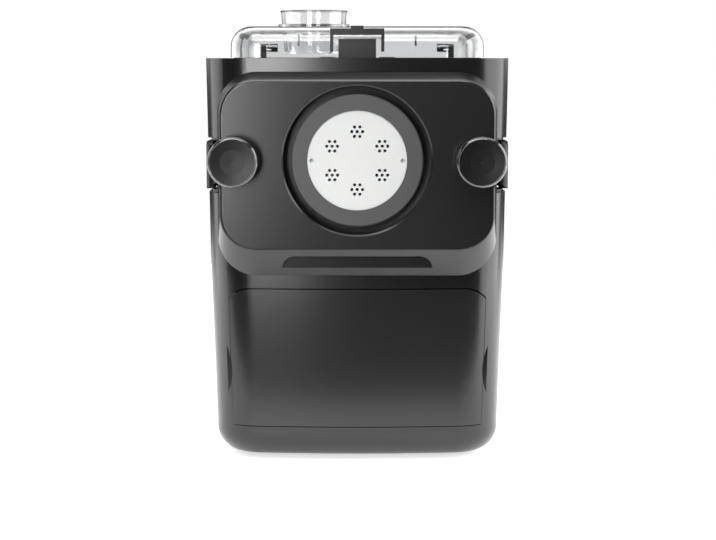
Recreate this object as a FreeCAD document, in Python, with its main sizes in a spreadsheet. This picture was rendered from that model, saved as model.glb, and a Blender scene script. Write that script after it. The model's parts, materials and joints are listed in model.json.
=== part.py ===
import FreeCAD
import Part

import math
import os
import re

import Sketcher

# Electric pasta maker, front towards -Y, +Z up, origin on the surface under its middle.

doc = FreeCAD.newDocument("PastaMaker")
sheet = doc.addObject("Spreadsheet::Sheet", "Sizes")

# Driving sizes in millimetres, grouped by the piece that they belong to.
SIZES = {
    # casing
    "foot_height": 3, "foot_diameter": 22, "foot_inset": 34.6, "foot_from_front": 46, "foot_from_rear": 38.5,
    "tray_top": 28, "tray_round": 20, "tray_wall": 3, "casing_top": 316, "casing_middle": 150,
    "half_top": 119.2, "taper_middle": 2.6, "taper_bottom": 6.6,
    "casing_front": 158, "fascia_deep": 12, "casing_rear": 198.5,
    "corner_front": 38, "corner_rear": 30, "front_bow": 800, "wall": 3, "seam_gap": 0.3,
    # front panel
    "panel_inset": 11.6, "panel_below": 90.1, "panel_drop": 10.6, "panel_corner": 30,
    "panel_seat": 8, "panel_proud": 20, "panel_top_bevel": 5.7, "panel_side_bevel": 2.7,
    "panel_low_bevel": 22, "panel_edge": 2.5,
    "grip_half_low": 60, "grip_half_high": 52, "grip_throat": 3.1, "grip_tall": 13.5, "grip_floor": 6,
    "grip_round": 8,
    # outlet, on the drive axis
    "axis_drop": 77.5, "well_diameter": 113.4, "well_chamfer": 1.2, "groove": 6.2, "ring_set_back": 2,
    "ring_bevel": 1, "disc_gap": 0.3, "lip_thick": 3, "ring_wide": 9.2, "disc_step": 6.1,
    "disc_thick": 10.4, "disc_set_back": 0.6, "disc_notch": 3.2,
    "hole_diameter": 2.4, "hole_spacing": 4.1, "cluster_radius": 22, "cluster_count": 6,
    "tube_inner": 60, "tube_wall": 4, "tube_flange": 84, "tube_flange_thick": 3,
    # kneading chamber
    "chamber_from_seam": 34, "chamber_radius": 54, "chamber_inset": 17,
    "shoulder_drop": 34, "chamber_wall": 3, "chamber_corner": 14,
    # lid
    "lid_inset": 18.2, "lid_over_front": 9, "lid_over_rear": 6, "lid_gap": 0.5, "lid_tall": 24.5,
    "lid_corner": 24, "lid_edge": 16, "lid_wall": 2.4,
    "hinge_behind": 9, "hinge_above": 10, "hinge_inset": 19, "hinge_barrel": 9, "hinge_pin": 4,
    "lug_thick": 5, "lug_gap": 0.4, "knuckle_width": 10, "fit": 0.05,
    "rib_side": 46, "rib_thick": 1.6, "rib_deep": 5,
    # clasp and post
    "clasp_half": 21.25, "clasp_leg": 2.5, "clasp_bar": 5, "clasp_deep": 6, "clasp_lift": 5,
    "clasp_drop": 2, "post_half": 14.75, "post_tall": 15, "post_ahead": 5, "post_deep": 4.6,
    "tab_half": 5, "tab_high": 2.2, "tab_deep": 4,
    # measuring cup
    "cup_x": -35.5, "cup_y": -58, "cup_top_diameter": 53.5, "cup_low_diameter": 48.5,
    "cup_lift": 3.5, "cup_above": 13.5, "cup_wall": 1.8, "cup_rim": 2.25, "cup_bead_high": 2,
    "cup_gap": 0.4,
    # agitator
    "flight_gap": 1, "screw_core": 22, "screw_pitch": 21, "screw_to_disc": 4, "flight_rear": 4,
    "flight_root": 4.5, "flight_tip": 2.5, "shaft_diameter": 12,
    "hub_diameter": 32, "paddle_clear": 5, "paddle_wide": 16, "paddle_thick": 7, "paddle_gap": 1.5,
    "shaft_past": 2, "seal_diameter": 28, "seal_long": 6, "bearing_diameter": 32,
    "bearing_long": 10,
    # gear train
    "gear_module": 2, "gear_teeth": 40, "pinion_teeth": 10, "gear_room": 8, "gear_thick": 10,
    "tooth_root_share": 0.46, "tooth_tip_share": 0.2, "addendum": 0.8, "dedendum": 1.2, "tooth_sink": 0.2,
    "bearing_room": 22, "gearbox_long": 34, "gearbox_wall": 3, "gearbox_gap": 5, "gearbox_corner": 15,
    "motor_diameter": 84, "motor_edge": 3, "motor_long": 54, "fan_room": 22.5, "motor_shaft_diameter": 8,
    "motor_shaft_past": 13, "fan_diameter": 70, "fan_thick": 8, "fan_gap": 3, "fan_blade": 2.4,
    "fan_hub": 18, "fan_blades": 9, "mount_thick": 4, "mount_half": 60, "motor_to_mount": 1.5,
    # clamps
    "pivot_inset": 6.3, "pivot_from_seam": 50, "arm_above": 12.5, "arm_below": 12.5,
    "arm_side_drop": 12, "arm_proud": 0.6, "arm_thick": 5.2, "nose_inset": 3.8, "arm_barrel": 9.6,
    "arm_pin": 5, "bend_from_seam": 18, "arm_face_gap": 0.5, "arm_nose_round": 7, "tip_past_knob": 9.5,
    "pocket_deep": 11.8, "pocket_wall": 2, "pocket_long": 60, "pocket_gap": 1,
    "knob_inset": 14.1, "knob_diameter": 38, "knob_proud": 22, "knob_chamfer": 2, "knob_dish": 1.2,
    "knob_gap": 0.4, "screw_shank": 8,
    # drawer
    "drawer_inset": 11.4, "drawer_lift": 0.6, "drawer_to_panel": 11.4, "drawer_corner": 22,
    "drawer_gap": 0.8, "box_inset": 15.2, "box_lift": 10, "box_drop": 17, "box_rear": 10,
    "box_wall": 2.5, "bay_gap": 0.8, "bay_wall": 2, "leg_inset": 10,
    "scoop_low": 50, "scoop_high": 92, "scoop_inset": 1.7, "scoop_half": 5,
    "scoop_deep": 2.5, "divider_thick": 2, "divider_drop": 10, "stored_diameter": 76, "stored_thick": 8,
    "stored_hole": 9, "stored_ring": 45.6, "stored_holes": 8,
    # top controls and electrics
    "control_from_rear": 22.5, "control_long": 72, "control_half": 70, "control_thick": 2,
    "control_corner": 8, "key_diameter": 15, "key_spacing": 28, "key_from_rear": 24, "key_proud": 1.2,
    "key_travel": 1.2, "key_gap": 0.35, "key_flange": 1.5, "board_gap": 4.5, "board_thick": 1.6,
    "board_inset": 4, "board_post": 7,
    "lens_from_front": 6, "lens_long": 24, "lens_half": 40, "lens_thick": 1.2,
    "switch_wide": 5, "switch_long": 10, "switch_tall": 8,
    "inlet_half": 14, "inlet_low": 44, "inlet_high": 66, "inlet_deep": 20, "inlet_proud": 1.5,
    "socket_half": 9.5, "socket_low": 47.5, "socket_high": 62.5, "socket_deep": 16, "socket_round": 2.7,
    "power_board_half": 45, "power_board_from_rear": 28.5, "power_board_long": 100,
    "power_board_high": 40, "capacitor_diameter": 18, "capacitor_high": 26,
    "cover_half": 62, "cover_lift": 8, "cover_drop": 40, "cover_corner": 10, "cover_flange": 4,
    "cover_thick": 2,
    "vent_half": 45, "vent_drop": 86, "vent_pitch": 9, "vent_slot": 4, "vent_count": 8, "slot_front": 20,
    "screw_head": 7, "screw_head_high": 2, "screw_stem": 3.5, "screw_bite": 8, "base_screw_inset": 60.6,
    "base_screw_from_front": 40, "base_screw_from_rear": 30.5,
}

# Places that follow from the driving sizes, so that neighbours keep together when one changes.
TIES = {
    "half_middle": "half_top - taper_middle", "half_bottom": "half_top - taper_bottom",
    "seam_front": "casing_front - fascia_deep",
    "foot_side": "half_bottom - foot_inset", "foot_front": "casing_front - foot_from_front",
    "foot_rear": "casing_rear - foot_from_rear",
    "axis_high": "casing_top - axis_drop",
    "panel_half": "half_top - panel_inset", "panel_low": "axis_high - panel_below",
    "panel_high": "casing_top - panel_drop", "panel_back": "casing_front - panel_seat",
    "panel_front": "casing_front + panel_proud",
    "grip_low": "panel_low + grip_throat", "grip_high": "grip_low + grip_tall",
    "grip_back": "casing_front + grip_floor",
    "ring_diameter": "well_diameter - 2 * groove", "ring_front": "panel_front - ring_set_back",
    "disc_diameter": "ring_diameter - 2 * (ring_wide + disc_gap)",
    "ring_seat": "disc_diameter + 2 * disc_gap", "lip_back": "ring_front - lip_thick",
    "disc_face": "disc_diameter - disc_step", "lip_inner": "disc_face + 2 * disc_gap",
    "disc_front": "ring_front - disc_set_back", "disc_back": "disc_front - disc_thick",
    "motor_rear": "casing_rear - fan_room", "gearbox_rear": "motor_rear - motor_long",
    "gearbox_front": "gearbox_rear - gearbox_long", "chamber_rear": "gearbox_front - bearing_room",
    "gear_front": "gearbox_front + gear_room", "shaft_rear": "gearbox_rear + shaft_past",
    "motor_shaft_rear": "motor_rear + motor_shaft_past",
    "motor_high": "axis_high - gear_module * (gear_teeth + pinion_teeth) / 2",
    "mount_high": "motor_high - motor_diameter / 2 - motor_to_mount",
    "chamber_front": "seam_front - chamber_from_seam", "chamber_half": "lid_half - chamber_inset",
    "chamber_shoulder": "casing_top - shoulder_drop",
    "lid_half": "half_top - lid_inset", "lid_front": "chamber_front + lid_over_front",
    "lid_rear": "chamber_rear + lid_over_rear", "lid_low": "casing_top + lid_gap",
    "lid_high": "lid_low + lid_tall",
    "hinge_rear": "lid_rear + hinge_behind", "hinge_high": "casing_top + hinge_above",
    "hinge_side": "lid_half - hinge_inset",
    "clasp_front": "lid_front + clasp_deep", "clasp_low": "casing_top + clasp_lift",
    "clasp_high": "lid_high - clasp_drop",
    "post_high": "casing_top + post_tall", "post_front": "lid_front + post_ahead",
    "cup_low": "casing_top + cup_lift", "cup_high": "lid_high + cup_above",
    "screw_diameter": "tube_inner - 2 * flight_gap", "screw_front": "disc_back - screw_to_disc",
    "screw_rear": "chamber_front - flight_rear", "paddle_reach": "chamber_radius - paddle_clear",
    "arm_high": "axis_high + arm_above", "arm_low": "axis_high - arm_below",
    "arm_side_low": "arm_low - arm_side_drop",
    "liner_low": "arm_side_low - pocket_gap - pocket_wall",
    "liner_high": "arm_high + pocket_gap + pocket_wall",
    "taper_rise": "(half_top - half_middle) / (casing_top - casing_middle)",
    "side_at_arm": "half_middle + (arm_low - casing_middle) * taper_rise",
    "side_at_liner": "half_middle + (liner_low - casing_middle) * taper_rise",
    "arm_outer": "side_at_arm + arm_proud", "arm_nose": "arm_outer - nose_inset",
    "pivot_x": "side_at_arm - pivot_inset", "pocket_floor": "side_at_arm - pocket_deep",
    "pivot_y": "seam_front - pivot_from_seam", "arm_bend": "seam_front - bend_from_seam",
    "pocket_rear": "seam_front - pocket_long",
    "knob_x": "panel_half - knob_inset", "arm_tip": "knob_x - tip_past_knob",
    "knob_front": "panel_front + knob_proud",
    "drawer_half": "half_middle - drawer_inset", "drawer_low": "tray_top + drawer_lift",
    "drawer_high": "panel_low - drawer_to_panel", "box_half": "drawer_half - box_inset",
    "box_low": "tray_top + box_lift", "box_high": "drawer_high - box_drop",
    "leg_side": "box_half - leg_inset", "scoop_side": "drawer_half - scoop_inset",
    "control_rear": "casing_rear - control_from_rear", "control_front": "control_rear - control_long",
    "key_y": "control_rear - key_from_rear", "lens_front": "control_front + lens_from_front",
    "lens_rear": "lens_front + lens_long",
    "power_board_rear": "casing_rear - power_board_from_rear",
    "power_board_front": "power_board_rear - power_board_long",
    "cover_low": "tray_top + cover_lift", "cover_high": "casing_top - cover_drop",
    "vent_low": "cover_high - vent_drop",
    "tray_floor": "foot_height + tray_wall",
    "base_screw_side": "half_bottom - base_screw_inset",
    "base_screw_front": "casing_front - base_screw_from_front",
    "base_screw_rear": "casing_rear - base_screw_from_rear",
}

for row, (alias, size) in enumerate(SIZES.items(), 1):
    sheet.set(f"A{row}", alias)
    sheet.set(f"B{row}", str(size))
    sheet.setAlias(f"B{row}", alias)
doc.recompute()

PLANES = {"XY": ("XY_Plane", 1), "XZ": ("XZ_Plane", -1), "YZ": ("YZ_Plane", 1)}
FAR = 900
pieces = []


def bound(text):
    """The expression with each size's name led by the sheet's, and each tied place spelt out."""
    def spell(word):
        if word[0] in TIES:
            return f"({bound(TIES[word[0]])})"
        return "Sizes." + word[0] if word[0] in SIZES else word[0]

    return re.sub(r"[a-z_]\w*", spell, str(text))


def value(text):
    """The number that an expression over the sheet has now."""
    return float(sheet.evalExpression(bound(text)))


def new_body(name):
    body = doc.addObject("PartDesign::Body", name)
    body.Label = name
    pieces.append(body)
    return body


def new_sketch(body, plane, at="0"):
    """A sketch on one of the body's origin planes, moved along that plane's world axis."""
    role, sign = PLANES[plane]
    sketch = body.newObject("Sketcher::SketchObject", body.Name + "_sketch")
    support = [item for item in body.Origin.OriginFeatures if item.Role == role][0]
    sketch.AttachmentSupport = [(support, "")]
    sketch.MapMode = "FlatFace"
    sketch.setExpression("AttachmentOffset.Base.z", bound(f"{sign} * ({at})"))
    return sketch


def place(sketch, constraints, texts):
    """Adds constraints, and binds the ones that have an expression."""
    first = sketch.ConstraintCount
    sketch.addConstraint(constraints)
    for shift, text in enumerate(texts):
        if text is not None:
            sketch.setExpression(f"Constraints[{first + shift}]", bound(text))


def pinned(geometry, corner, x, y):
    """Constraints that hold one point of the sketch at two expressions."""
    made = [
        Sketcher.Constraint("DistanceX", -1, 1, geometry, corner, value(x)),
        Sketcher.Constraint("DistanceY", -1, 1, geometry, corner, value(y)),
    ]
    return made, [x, y]


def add_path(sketch, steps):
    """A closed outline: a step is (x, y) for a straight edge to it, or (via x, via y, x, y) for an arc."""
    ends = [step[-2:] for step in steps]
    constraints, texts, edges = [], [], []
    for index, step in enumerate(steps):
        start = FreeCAD.Vector(value(ends[index - 1][0]), value(ends[index - 1][1]), 0)
        end = FreeCAD.Vector(value(step[-2]), value(step[-1]), 0)
        if len(step) == 2:
            edge = sketch.addGeometry(Part.LineSegment(start, end), False)
            edges.append((edge, 1, 2))
        else:
            via = FreeCAD.Vector(value(step[0]), value(step[1]), 0)
            edge = sketch.addGeometry(Part.Arc(start, via, end), False)
            turns_left = (via - start).cross(end - via).z > 0
            edges.append((edge, 1, 2) if turns_left else (edge, 2, 1))
            point = sketch.addGeometry(Part.Point(via), True)
            held, names = pinned(point, 1, step[0], step[1])
            constraints += held + [Sketcher.Constraint("PointOnObject", point, 1, edge)]
            texts += names + [None]
    for index, (edge, first, last) in enumerate(edges):
        before = edges[index - 1]
        constraints.append(Sketcher.Constraint("Coincident", before[0], before[2], edge, first))
        texts.append(None)
        held, names = pinned(edge, first, *ends[index - 1])
        constraints += held
        texts += names
    place(sketch, constraints, texts)


def add_box(sketch, low_x, low_y, high_x, high_y):
    add_path(sketch, [(low_x, low_y), (high_x, low_y), (high_x, high_y), (low_x, high_y)])


def add_round_box(sketch, low_x, low_y, high_x, high_y, radius, lower=None):
    """A rectangle with round corners, the two lower ones with a radius of their own where it is given."""
    below = lower or radius
    bite = 1 - math.sqrt(0.5)
    add_path(sketch, [
        (f"{high_x} - {below}", low_y),
        (f"{high_x} - {below} * {bite}", f"{low_y} + {below} * {bite}", high_x, f"{low_y} + {below}"),
        (high_x, f"{high_y} - {radius}"),
        (f"{high_x} - {radius} * {bite}", f"{high_y} - {radius} * {bite}", f"{high_x} - {radius}", high_y),
        (f"{low_x} + {radius}", high_y),
        (f"{low_x} + {radius} * {bite}", f"{high_y} - {radius} * {bite}", low_x, f"{high_y} - {radius}"),
        (low_x, f"{low_y} + {below}"),
        (f"{low_x} + {below} * {bite}", f"{low_y} + {below} * {bite}", f"{low_x} + {below}", low_y),
    ])


def add_circle(sketch, x, y, diameter):
    centre = FreeCAD.Vector(value(x), value(y), 0)
    edge = sketch.addGeometry(Part.Circle(centre, FreeCAD.Vector(0, 0, 1), value(diameter) / 2), False)
    held, names = pinned(edge, 3, x, y)
    place(sketch, held + [Sketcher.Constraint("Diameter", edge, value(diameter))], names + [diameter])


def extrude(kind, body, sketch, length, reverse=False, both=False):
    feature = body.newObject(kind, body.Name + "_feature")
    feature.Profile = sketch
    feature.setExpression("Length", bound(length))
    feature.Reversed = reverse
    feature.Midplane = both
    return feature


def pad(body, sketch, length, reverse=False, both=False):
    return extrude("PartDesign::Pad", body, sketch, length, reverse, both)


def pocket(body, sketch, length, reverse=False, both=False):
    return extrude("PartDesign::Pocket", body, sketch, length, reverse, both)


def spin(kind, body, sketch, axis="V_Axis"):
    feature = body.newObject(kind, body.Name + "_turn")
    feature.Profile = sketch
    feature.ReferenceAxis = (sketch, [axis])
    feature.Angle = 360
    return feature


def revolve(body, sketch, axis="V_Axis"):
    return spin("PartDesign::Revolution", body, sketch, axis)


def loft(kind, body, sections):
    feature = body.newObject(kind, body.Name + "_loft")
    feature.Profile = sections[0]
    feature.Sections = sections[1:]
    feature.Ruled = True
    return feature


def round_edges(body, radius, wanted, kind="PartDesign::Fillet", size="Radius"):
    """Rounds or chamfers the edges of the body's last feature that the test picks."""
    doc.recompute()
    base = body.Tip
    names = [f"Edge{index}" for index, edge in enumerate(base.Shape.Edges, 1) if wanted(edge)]
    if not names:
        raise ValueError(f"{body.Label} has no edge to round by {radius}")
    feature = body.newObject(kind, body.Name + "_edge")
    feature.Base = (base, names)
    feature.setExpression(size, bound(radius))
    return feature


def bevel_edges(body, length, wanted):
    return round_edges(body, length, wanted, "PartDesign::Chamfer", "Size")


def flat_at(axis, height):
    """A test for edges that lie in the plane where the given axis has one value."""
    def wanted(edge):
        box = edge.BoundBox
        low, high = getattr(box, axis + "Min"), getattr(box, axis + "Max")
        return abs(low - value(height)) < 0.02 and abs(high - value(height)) < 0.02
    return wanted


def round_at(front, diameter):
    """A test for the round edge of one diameter in the plane at one Y."""
    def wanted(edge):
        flat = abs(edge.BoundBox.YMin - value(front)) < 0.02 and edge.BoundBox.YLength < 0.02
        return flat and abs(getattr(edge.Curve, "Radius", 0) - value(diameter) / 2) < 0.02
    return wanted


def polar(body, feature, count, plane="XZ", axis="Y_Axis"):
    """Repeats a feature round the body's own axis."""
    doc.recompute()
    pattern = body.newObject("PartDesign::PolarPattern", body.Name + "_pattern")
    pattern.Originals = [feature]
    pattern.Axis = ([item for item in body.Origin.OriginFeatures if item.Role == axis][0], [""])
    pattern.Angle = 360
    pattern.setExpression("Occurrences", bound(count))
    body.Tip = pattern
    return pattern


def move(body, x="0", y="0", z="0"):
    """Places the whole body."""
    for letter, text in zip("xyz", (x, y, z)):
        if text != "0":
            body.setExpression(f"Placement.Base.{letter}", bound(text))


def cylinder_y(name, diameter, front, rear, bore=None, high="axis_high"):
    """A round piece on a front-to-back axis, between two Y values, with an optional bore."""
    body = new_body(name)
    outline = new_sketch(body, "XZ", front)
    add_circle(outline, "0", high, diameter)
    if bore:
        add_circle(outline, "0", high, bore)
    pad(body, outline, f"({rear}) - ({front})", reverse=True)
    return body


def casing_section(sketch, half, inset="0"):
    """Plan outline of the casing: bowed front, large front corners, smaller rear corners."""
    width, shrink = value(half), value(inset)
    bow, corner, back = value("front_bow"), value("corner_front"), value("corner_rear")
    side = width - shrink
    corner_r, bow_r, back_r = corner - shrink, bow - shrink, back - shrink
    centre_x = width - corner
    bow_y = bow - value("casing_front")
    centre_y = bow_y - math.sqrt((bow - corner) ** 2 - centre_x ** 2)
    slope = math.atan2(centre_x, bow_y - centre_y)
    half_turn = (slope + math.pi / 2) / 2
    rear = value("casing_rear") - shrink

    def vector(x, y):
        return FreeCAD.Vector(x, y, 0)

    def ring(x, y, radius, angle):
        return vector(x + radius * math.sin(angle), y - radius * math.cos(angle))

    touch = ring(0, bow_y, bow_r, slope)
    mirror = vector(-touch.x, touch.y)
    lines = [
        Part.Arc(mirror, vector(0, bow_y - bow_r), touch),
        Part.Arc(touch, ring(centre_x, centre_y, corner_r, half_turn), vector(side, centre_y)),
        Part.LineSegment(vector(side, centre_y), vector(side, rear - back_r)),
        Part.Arc(vector(side, rear - back_r), ring(side - back_r, rear - back_r, back_r, 3 * math.pi / 4),
                 vector(side - back_r, rear)),
        Part.LineSegment(vector(side - back_r, rear), vector(back_r - side, rear)),
        Part.Arc(vector(back_r - side, rear), ring(back_r - side, rear - back_r, back_r, -3 * math.pi / 4),
                 vector(-side, rear - back_r)),
        Part.LineSegment(vector(-side, rear - back_r), vector(-side, centre_y)),
        Part.Arc(vector(-side, centre_y), ring(-centre_x, centre_y, corner_r, -half_turn), mirror),
    ]
    sketch.addGeometry(lines, False)
    joints = [Sketcher.Constraint("Tangent", index, 2, (index + 1) % 8, 1) for index in range(8)]
    place(sketch, joints, [None] * 8)
    place(
        sketch,
        [
            Sketcher.Constraint("Vertical", 2),
            Sketcher.Constraint("Horizontal", 4),
            Sketcher.Constraint("Vertical", 6),
            Sketcher.Constraint("Radius", 0, bow_r),
            Sketcher.Constraint("Radius", 1, corner_r),
            Sketcher.Constraint("Radius", 3, back_r),
            Sketcher.Constraint("Radius", 5, back_r),
            Sketcher.Constraint("Radius", 7, corner_r),
            Sketcher.Constraint("DistanceX", -1, 1, 2, 1, side),
            Sketcher.Constraint("DistanceX", -1, 1, 6, 1, -side),
            Sketcher.Constraint("DistanceY", -1, 1, 4, 1, rear),
            Sketcher.Constraint("DistanceX", -1, 1, 0, 3, 0),
            Sketcher.Constraint("DistanceY", -1, 1, 0, 3, bow_y),
        ],
        [
            None, None, None,
            f"front_bow - ({inset})",
            f"corner_front - ({inset})",
            f"corner_rear - ({inset})",
            f"corner_rear - ({inset})",
            f"corner_front - ({inset})",
            f"{half} - ({inset})",
            f"({inset}) - {half}",
            f"casing_rear - ({inset})",
            None,
            "front_bow - casing_front",
        ],
    )


def casing_loft(kind, body, inset="0"):
    """The casing's form, drawn through its three plan outlines."""
    sections = []
    for half, level in LEVELS:
        section = new_sketch(body, "XY", level)
        casing_section(section, half, inset)
        sections.append(section)
    return loft(kind, body, sections)


LEVELS = [("half_bottom", "tray_top"), ("half_middle", "casing_middle"), ("half_top", "casing_top")]


def make_main_housing():
    body = new_body("main_housing")
    casing_loft("PartDesign::AdditiveLoft", body)
    casing_loft("PartDesign::SubtractiveLoft", body, "wall")
    front = new_sketch(body, "XZ", "-seam_front")
    add_box(front, f"-{FAR}", "0", f"{FAR}", f"{FAR}")
    pocket(body, front, f"{FAR}", reverse=True)
    for side in (-1, 1):
        window = new_sketch(body, "YZ", f"{side} * pocket_floor")
        add_box(window, "-seam_front - 1", "liner_low", "-pocket_rear", "liner_high")
        pocket(body, window, f"{FAR}", reverse=side > 0)
        scoop(body, side)
    rear = new_sketch(body, "XZ", "casing_rear")
    cover_outline(rear, "0")
    pocket(body, rear, "4 * wall", both=True)


def make_top_deck():
    """Deck let in between the casing's walls, with the tub's mouth and the recess of the controls."""
    body = new_body("top_deck")
    plan = new_sketch(body, "XY", "casing_top - wall")
    casing_section(plan, "half_top", "wall + seam_gap")
    pad(body, plan, "wall")
    front = new_sketch(body, "XZ", "seam_gap - seam_front")
    add_box(front, f"-{FAR}", "0", f"{FAR}", f"{FAR}")
    pocket(body, front, f"{FAR}", reverse=True)
    mouth = new_sketch(body, "XY", "casing_top")
    half = "(chamber_half - chamber_wall)"
    add_round_box(mouth, f"-{half}", "-chamber_front", half, "chamber_rear", "chamber_corner")
    pocket(body, mouth, "wall * 2", both=True)
    panel = new_sketch(body, "XY", "casing_top")
    add_round_box(panel, "-control_half", "control_front", "control_half", "control_rear", "control_corner")
    pocket(body, panel, "control_thick")
    keyholes = new_sketch(body, "XY", "casing_top")
    for step in (-1, 0, 1):
        add_circle(keyholes, f"{step} * key_spacing", "key_y", "key_diameter + 2 * key_flange + 2 * key_gap")
    pocket(body, keyholes, "wall * 4", both=True)


def cover_outline(sketch, grow):
    half = f"(cover_half + {grow})"
    add_round_box(sketch, f"-{half}", f"cover_low - {grow}", half, f"cover_high + {grow}",
                  f"(cover_corner + {grow})")


def make_rear_cover():
    """Rear cover with vents and the inlet's hole, its flange behind the edge of the casing's window."""
    body = new_body("rear_cover")
    plate = new_sketch(body, "XZ", "casing_rear")
    cover_outline(plate, "-seam_gap")
    pad(body, plate, "wall")
    flange = new_sketch(body, "XZ", "casing_rear - wall")
    cover_outline(flange, "cover_flange")
    pad(body, flange, "cover_thick")
    inlet = new_sketch(body, "XZ", "casing_rear")
    add_box(inlet, "-inlet_half", "inlet_low", "inlet_half", "inlet_high")
    pocket(body, inlet, "4 * wall", both=True)
    vents = new_sketch(body, "XZ", "casing_rear")
    for step in range(int(value("vent_count"))):
        low = f"vent_low + {step} * vent_pitch"
        add_box(vents, "-vent_half", low, "vent_half", f"{low} + vent_slot")
    pocket(body, vents, "4 * wall", both=True)


def scoop(body, side):
    """Half of the finger scoop at one side seam of the drawer, an upright ellipse cut to a set depth."""
    middle, reach = "(scoop_low + scoop_high) / 2", "(scoop_high - scoop_low) / 2"
    recess = new_sketch(body, "XZ", "-casing_front - 1")
    add_path(recess, [
        (f"{side} * scoop_side", f"{middle} + {reach}"),
        (f"{side} * scoop_side - scoop_half", middle, f"{side} * scoop_side", f"{middle} - {reach}"),
        (f"{side} * scoop_side + scoop_half", middle, f"{side} * scoop_side", f"{middle} + {reach}"),
    ][1:])
    pocket(body, recess, "casing_front - seam_front + scoop_deep + 1")


def make_front_fascia():
    body = new_body("front_fascia")
    casing_loft("PartDesign::AdditiveLoft", body)
    rest = new_sketch(body, "XZ", "-seam_front")
    add_box(rest, f"-{FAR}", "0", f"{FAR}", f"{FAR}")
    pocket(body, rest, f"{FAR}")
    drawer = new_sketch(body, "XZ", "-casing_front - 1")
    shoulder = "drawer_high - drawer_corner + drawer_gap"
    add_path(drawer, [
        (f"{FAR}", "0"),
        (f"{FAR}", shoulder),
        ("drawer_half + drawer_gap", shoulder),
        *drawer_top("drawer_gap"),
        (f"-{FAR}", shoulder),
        (f"-{FAR}", "0"),
    ])
    pocket(body, drawer, "casing_front")
    seat = new_sketch(body, "XZ", "-panel_back")
    add_round_box(seat, "-panel_half - seam_gap", "panel_low - seam_gap", "panel_half + seam_gap",
                  "panel_high + seam_gap", "(panel_corner + seam_gap)")
    pocket(body, seat, f"{FAR}", reverse=True)
    hole = new_sketch(body, "XZ", "-casing_front")
    add_circle(hole, "0", "axis_high", "tube_inner + 2 * tube_wall + 2 * fit")
    pocket(body, hole, "4 * (casing_front - seam_front)", both=True)


def drawer_top(grow):
    """The two rounded upper corners and the top edge of the drawer, from right to left."""
    bite = 1 - math.sqrt(0.5)
    side, high = f"(drawer_half + {grow})", f"(drawer_high + {grow})"
    return [
        (f"{side} - drawer_corner * {bite}", f"{high} - drawer_corner * {bite}",
         f"{side} - drawer_corner", high),
        (f"drawer_corner - {side}", high),
        (f"drawer_corner * {bite} - {side}", f"{high} - drawer_corner * {bite}", f"-{side}",
         f"{high} - drawer_corner"),
    ]


def make_base_tray():
    body = new_body("base_tray")
    plan = new_sketch(body, "XY", "foot_height")
    casing_section(plan, "half_bottom")
    pad(body, plan, "tray_top - foot_height")
    inside = new_sketch(body, "XY", "tray_floor")
    casing_section(inside, "half_bottom", "tray_wall")
    pocket(body, inside, "tray_top", reverse=True)
    round_edges(body, "tray_round - tray_wall", flat_at("Z", "tray_floor"))
    round_edges(body, "tray_round", flat_at("Z", "foot_height"))
    slots = new_sketch(body, "XY", "foot_height")
    for step in range(int(value("vent_count"))):
        low = f"slot_front + {step} * vent_pitch"
        add_box(slots, "-vent_half", low, "vent_half", f"{low} + vent_slot")
    for side in (-1, 1):
        for row in ("-base_screw_front", "base_screw_rear"):
            add_circle(slots, f"{side} * base_screw_side", row, "screw_stem + 2 * fit")
    pocket(body, slots, "3 * tray_wall", both=True)


def make_feet():
    body = new_body("rubber_feet")
    plan = new_sketch(body, "XY", "0")
    for side in (-1, 1):
        for row in ("-foot_front", "foot_rear"):
            add_circle(plan, f"{side} * foot_side", row, "foot_diameter")
    pad(body, plan, "foot_height")


def make_front_panel():
    body = new_body("front_panel")
    back = new_sketch(body, "XZ", "-panel_back")
    add_round_box(back, "-panel_half", "panel_low", "panel_half", "panel_high", "panel_corner")
    pad(body, back, "casing_front - panel_back")
    skirt = new_sketch(body, "XZ", "-casing_front")
    add_round_box(skirt, "-panel_half", "panel_low", "panel_half", "panel_high", "panel_corner")
    face = new_sketch(body, "XZ", "-panel_front")
    half = "(panel_half - panel_side_bevel)"
    add_round_box(face, f"-{half}", "(panel_low + panel_low_bevel)", half, "(panel_high - panel_top_bevel)",
                  "(panel_corner - panel_side_bevel)")
    loft("PartDesign::AdditiveLoft", body, [skirt, face])
    round_edges(body, "panel_edge", flat_at("Y", "-panel_front"))
    well = new_sketch(body, "XZ", "-casing_front")
    add_circle(well, "0", "axis_high", "well_diameter")
    pocket(body, well, f"{FAR}", reverse=True)
    bevel_edges(body, "well_chamfer", round_at("-panel_front", "well_diameter"))
    hole = new_sketch(body, "XZ", "-casing_front")
    add_circle(hole, "0", "axis_high", "tube_inner + 2 * tube_wall + 2 * fit")
    pocket(body, hole, "4 * (casing_front - panel_back)", both=True)
    grip = new_sketch(body, "XZ", "-grip_back")
    add_path(grip, [
        ("-grip_half_low", "panel_low - 1"),
        ("grip_half_low", "panel_low - 1"),
        ("grip_half_low", "grip_low"),
        ("grip_half_high + grip_round / 2", "grip_high - grip_round / 2"),
        ("grip_half_high", "grip_high - 1", "grip_half_high - grip_round", "grip_high"),
        ("grip_round - grip_half_high", "grip_high"),
        ("-grip_half_high", "grip_high - 1", "-grip_half_high - grip_round / 2",
         "grip_high - grip_round / 2"),
        ("-grip_half_low", "grip_low"),
    ])
    pocket(body, grip, f"{FAR}", reverse=True)


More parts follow.
